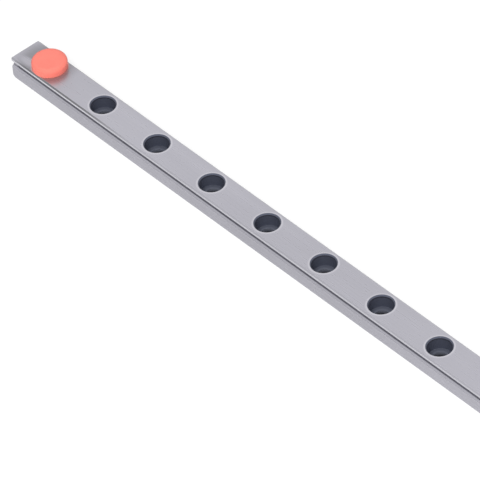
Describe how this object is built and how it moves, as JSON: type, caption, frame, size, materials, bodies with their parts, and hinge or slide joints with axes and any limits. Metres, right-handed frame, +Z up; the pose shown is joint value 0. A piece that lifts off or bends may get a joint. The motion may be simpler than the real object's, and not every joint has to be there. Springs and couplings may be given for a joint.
{
  "type": "profile linear guide rail",
  "caption": "Slim steel guide rail with a ball raceway in each side, a row of counterbored screw holes and a soft stop plug in an end hole.",
  "frame": {"origin": "middle of the rail's underside", "axes": "+X along the rail, away from the stop plug's end; +Z up out of the screw holes; +Y across"},
  "size_m": [0.3, 0.009, 0.0092],
  "materials": {
    "ground_steel": "hardened steel, ground along its length, satin",
    "soft_plastic": "moulded soft plastic, matt, coral red"
  },
  "bodies": {
    "root": {"rail": "ground_steel", "stop_plug": "soft_plastic"}
  },
  "joints": []
}
